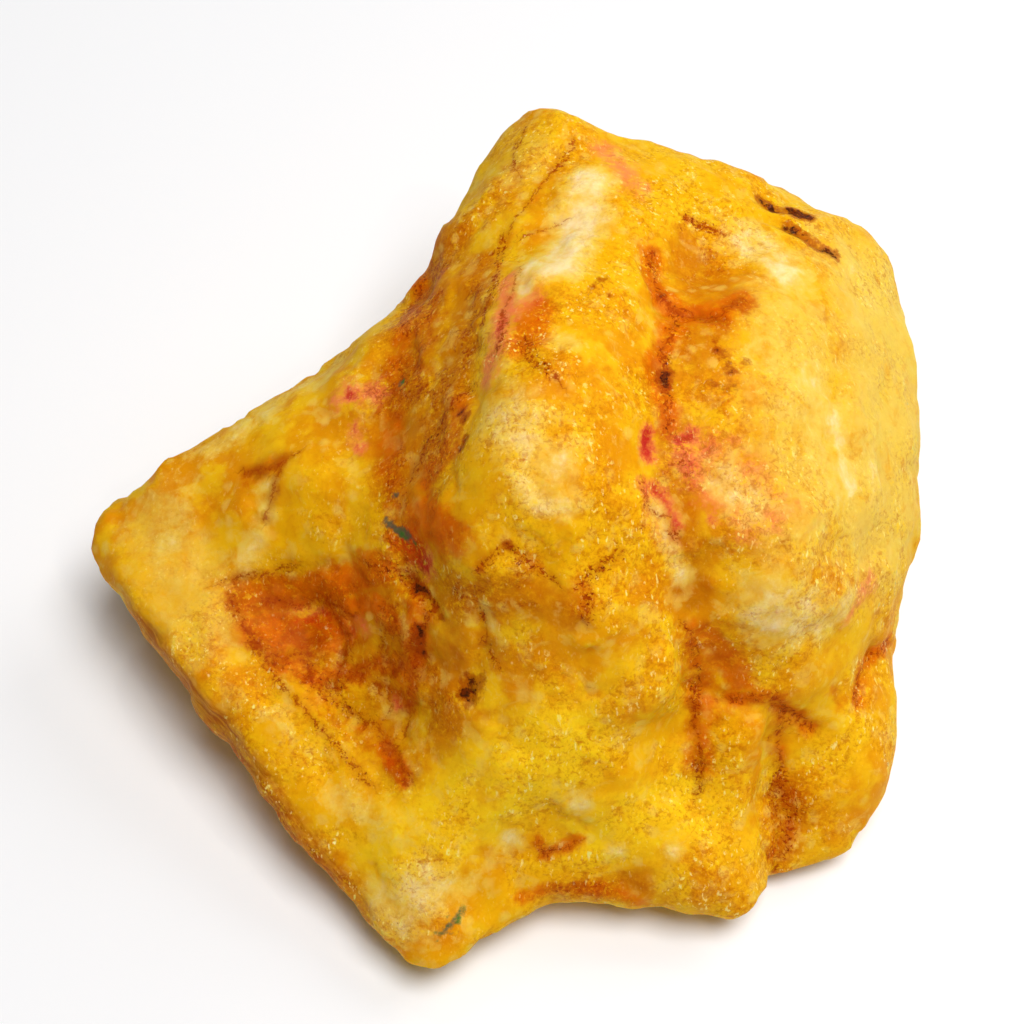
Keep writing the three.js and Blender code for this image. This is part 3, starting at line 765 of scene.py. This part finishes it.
class StoneNodes(Nodes):
    """The noises and the masks that the layers of the stone share."""

    def __init__(self):
        super().__init__("sapphire")
        self.large = self.noise(9)
        self.cloud = self.noise(3.2, detail=5, roughness=0.55, offset=7)
        self.patch = self.noise(2.0, detail=4, roughness=0.6, offset=23, distortion=0.6)
        self.ragged = self.noise(1.3, detail=6, roughness=0.65, offset=3)
        self.gather = self.noise(4.5, offset=13)
        self.grain = self.noise(0.26, roughness=0.65)
        self.fleck = self.noise(0.30, roughness=0.6, offset=33)
        self.crinkle = self.noise(0.55, detail=4, roughness=0.65, offset=27, distortion=0.6)
        self.strokes = self.noise(0.9, detail=2, offset=19, distortion=1.0)
        self.streak = self.noise(0.5, detail=4, roughness=0.6, offset=41, along=(EDGE_WAY, STREAK_LENGTH))
        self.edges = self.noise(0.30, detail=2, offset=51, along=(EDGE_FALL, EDGE_LENGTH))
        self.crystals = self.cells(CRYSTAL)
        self.smeared = self.times(self.attribute("rust"), self.attribute("waxy"))
        self.rough = self.hackly_places()
        self.painted_and_coat_glints = self.painted_and_coat_glint_edges()

    def hackly_places(self):
        """Where the surface is sugary: in wide patches, and hardly at all on the waxy breaks."""
        hackly = self.times_plus(self.rise(self.gather, 0.38, 0.60), 0.85, 0.15)
        return self.times(hackly, self.times_plus(self.attribute("waxy"), -0.75, 1.0))

    def painted_and_coat_glint_edges(self):
        """Painted glints: short bright dashes put into the colour, gathered in the sugary places and fewer on
        the darker honey; the clear coat goes on the same places.
        """
        gathered = self.times(self.rise(self.shifted(self.crinkle, self.ragged, 1.0), 0.44, 0.60), self.rough)
        painted_and_coat_glints = self.times(self.rise(self.edges, 0.59, 0.67), gathered)
        return self.times(painted_and_coat_glints, self.times_plus(self.attribute("ochre_and_shade"), -0.6, 1.0))

    def stain(self, name, low, high, amount):
        """Where a stain shows: its strength, made ragged by noise, rising between two limits."""
        strength = self.attribute(name)
        ragged = self.rise(self.shifted(strength, self.ragged, amount), low, high)
        return self.times(ragged, self.rise(strength, 0.0, 0.3))


def card_material():
    """White card, hardly uneven."""
    card = Nodes("white_card")
    tone = card.noise(CARD_CLOUD, detail=2)
    card.link(card.shader.inputs["Base Color"], card.mix(tone, *CARD_COLOURS))
    card.shader.inputs["Roughness"].default_value = CARD_ROUGHNESS
    card.shader.inputs["Specular IOR Level"].default_value = CARD_SHINE
    return card.material


def ground_colour(s):
    """Honey yellow in soft clouds, more amber in some and paler in others, with milky grains in it."""
    base = s.mix(s.rise(s.large, 0.38, 0.62), AMBER, GOLD)
    base = s.mix(s.rise(s.cloud, 0.46, 0.62), base, HONEY)
    base = s.mix(s.stain("lemon", 0.2, 0.9, 1.0), base, LEMON_YELLOW, share=0.8)
    # clear yellow, brightened as painted lighting on the front and the block
    base = s.mix(s.stain("yellow_and_painted_light", 0.2, 0.9, 1.2), base, BRIGHT, share=0.9)
    # darker honey: the stone's own tone, and painted shade on faces turned from the light
    base = s.mix(s.stain("ochre_and_shade", 0.2, 0.9, 1.2), base, DARK_HONEY, share=0.8)
    base = s.mix(s.rise(s.patch, 0.46, 0.34), base, AMBER, share=0.4)
    base = s.mix(s.rise(s.patch, 0.54, 0.64), base, PALE, share=0.3)
    grains = s.cells(GRAIN)
    core = s.rise(s.shifted(grains["distance"], s.ragged, 0.8), 0.50, 0.15)
    return s.mix(s.times(core, s.rise(grains["number"], 0.55, 0.85)), base, PALE, share=0.5)


def stained(s, base):
    """Rust in the hollow and the grooves, then pink and red, then the pale bands over them, then the streaked
    strip under the long edge, darkened as painted shade.
    """
    rust = s.mix(s.rise(s.patch, 0.34, 0.56), DEEP_ORANGE, ORANGE)
    base = s.mix(s.stain("rust", 0.2, 0.9, 1.6), base, rust, share=0.85)
    base = s.mix(s.times(s.rise(s.cloud, 0.46, 0.58), s.smeared), base, RUSTY, share=0.8)
    base = s.mix(s.stain("pink", 0.1, 1.1, 2.2), base, PINKISH, share=0.8)
    rusty = s.rise(s.attribute("rust"), 0.3, 0.8)
    base = s.mix(s.stain("red", 0.0, 1.0, 2.6), base, s.mix(rusty, PINKISH, ORANGE), share=0.7)
    base = s.mix(s.stain("red", 0.35, 1.1, 2.6), base, s.mix(rusty, BLOOD, SCARLET), share=0.95)
    cream = s.shifted(s.shifted(s.attribute("cream"), s.patch, 1.6), s.ragged, 1.2)
    base = s.mix(s.rise(cream, 0.2, 0.9), base, PALE, share=0.8)
    base = s.mix(s.rise(cream, 0.7, 1.5), base, WHITISH, share=0.8)
    # the strip under the long edge: rusty and tan streaks, darkened over the whole strip as painted shade
    streaks_and_shade = s.mix(s.rise(s.streak, 0.40, 0.60), RUSTY, TAN)
    return s.mix(s.stain("side", 0.2, 0.8, 0.6), base, streaks_and_shade, share=0.8)


def grained_with_painted_shade_and_glints(s, base):
    """Crinkles and grain: the stone's amber and gold mottle, laid amber in the bump's pits as painted shade
    and bright on its tops as painted highlight, and the painted glints.
    """
    # the stone's amber-to-gold mottle, following the bump: amber in its pits is painted shade, bright on its
    # tops is painted highlight
    base = s.mix(s.times(s.rise(s.crinkle, 0.50, 0.36), s.rough), base, DEEP_AMBER, share=0.5)
    base = s.mix(s.times(s.rise(s.crinkle, 0.53, 0.68), s.rough), base, BRIGHT, share=0.6)
    base = s.mix(s.times(s.rise(s.grain, 0.50, 0.28), s.rough), base, DEEP_AMBER, share=0.5)
    base = s.mix(s.times(s.rise(s.grain, 0.52, 0.72), s.rough), base, BRIGHT, share=0.5)
    # painted highlights: bright glint dashes put into the colour
    return s.mix(s.painted_and_coat_glints, base, PAINTED_GLINT, share=0.85)


def dirtiness(s):
    """How much dirt gathers in a place: more in crevices and in the dark stains, less in the pale ones."""
    dirt = s.times_plus(s.attribute("crevice"), 0.3, s.times(s.attribute("rust"), 0.1))
    for name, amount in (("ochre_and_shade", 0.65), ("cream", -0.6), ("lemon", -0.7), ("yellow_and_painted_light", -0.5), ("dark", 0.6)):
        dirt = s.times_plus(s.attribute(name), amount, dirt)
    return s.shifted(dirt, s.gather, 2.4)


def veined(s, base, away, near):
    """Broken rusty cracks along the veins, in a soft halo that is darkest in the waxy hollow."""
    base = s.mix(s.times(near, s.times_plus(s.smeared, 0.4, 0.25)), base, RUSTY)
    vein = s.times(s.rise(s.shifted(away, s.crinkle, 0.5), 0.14, 0.03), s.attribute("vein_strength"))
    return s.mix(s.times(vein, s.rise(s.fleck, 0.42, 0.50)), base, RUSTY, share=0.6)


def scratched(s, base):
    """Rusty smudges, the veins, and short scratches and specks that gather in places."""
    dirt = dirtiness(s)
    base = s.mix(s.rise(s.shifted(dirt, s.ragged, 2.6), 0.5, 1.5), base, RUSTY, share=0.5)
    away = s.math("ABSOLUTE", s.shifted(s.attribute("vein_side"), s.ragged, 2.2))
    near = s.times(s.rise(away, 0.8, 0.1), s.attribute("vein_strength"))
    base = veined(s, base, away, near)

    ridge = s.math("ABSOLUTE", s.math("SUBTRACT", s.strokes, 0.5))
    broken = s.times(s.rise(ridge, 0.08, 0.02), s.rise(s.fleck, 0.46, 0.54))
    dirt = s.math("ADD", near, dirt)
    scratch = s.times(broken, s.rise(s.shifted(dirt, s.ragged, 2.0), 0.35, 1.0))
    calm = s.times_plus(s.attribute("waxy"), -0.6, 1.0)
    base = s.mix(s.times(scratch, calm), base, RUSTY, share=0.9)
    speck = s.times_plus(s.rise(dirt, 0.2, 1.4), s.times(calm, 0.14), s.fleck)
    return s.mix(s.rise(speck, 0.75, 0.80), base, BROWN, share=0.9)


def spotted(s, base):
    """Sooty pits, and a few green and grey-green specks."""
    soot = s.mix(s.rise(s.grain, 0.40, 0.60), BLACKISH, BROWN)
    base = s.mix(s.stain("dark", 0.35, 0.7, 2.0), base, RUSTY, share=0.7)
    base = s.mix(s.stain("dark", 0.72, 0.92, 2.0), base, soot, share=0.95)
    moss = s.mix(s.rise(s.ragged, 0.5, 0.7), SLATE, LEAF)
    return s.mix(s.stain("green", 0.4, 0.8, 2.0), base, moss, share=0.9)


def pitted_normal(s):
    """The stone's own surface: hackly, with fine pits between the grains."""
    pits = s.times_plus(s.crinkle, 1.5, s.grain)
    height = s.times_plus(s.ragged, COARSE_PITS, s.times(pits, s.times(s.rough, FINE_PITS)))
    bump = s.add("ShaderNodeBump")
    bump.inputs["Strength"].default_value = 1
    bump.inputs["Distance"].default_value = MM
    s.link(bump.inputs["Height"], height)
    return bump.outputs["Normal"]


def facet_normal(s, normal):
    """Every crystal is a flat facet, tilted its own way."""
    tilt = s.vector("MULTIPLY", s.vector("SUBTRACT", s.crystals["colour"], (0.5,) * 3), (FACET_TILT,) * 3)
    return s.vector("NORMALIZE", s.vector("ADD", normal, tilt))


def stone_material():
    """Massive, sugary yellow stone, milky inside, with a clear coat and painted glints on its broken grains.
    """
    s = StoneNodes()
    base = grained_with_painted_shade_and_glints(s, stained(s, ground_colour(s)))
    base = spotted(s, scratched(s, base))
    normal = pitted_normal(s)
    s.link(s.shader.inputs["Base Color"], base)
    s.link(s.shader.inputs["Normal"], normal)
    # a real clear coat on the same places as the painted glints
    s.link(s.shader.inputs["Coat Weight"], s.times(s.painted_and_coat_glints, s.rise(s.crystals["number"], 0.5, 0.8)))
    s.link(s.shader.inputs["Coat Normal"], facet_normal(s, normal))
    s.shader.inputs["Coat Roughness"].default_value = COAT_ROUGHNESS
    s.shader.inputs["Coat IOR"].default_value = IOR
    s.shader.inputs["Roughness"].default_value = ROUGHNESS
    s.shader.inputs["IOR"].default_value = IOR
    s.shader.inputs["Specular IOR Level"].default_value = SHINE
    s.shader.inputs["Subsurface Weight"].default_value = MILKINESS
    s.shader.inputs["Subsurface Radius"].default_value = LIGHT_REACH
    s.shader.inputs["Subsurface Scale"].default_value = LIGHT_SCALE * MM
    return s.material


# ---------------------------------------------------------------- scene

add_camera()
add_world()
for lamp, (way, distance, side, watts, tint) in LAMPS.items():
    add_lamp(lamp, way, distance, side, watts, tint)
add_table()
bpy.context.scene.view_settings.view_transform = "Standard"

stone = build_stone()
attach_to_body(stone, "root")
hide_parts(NODE)
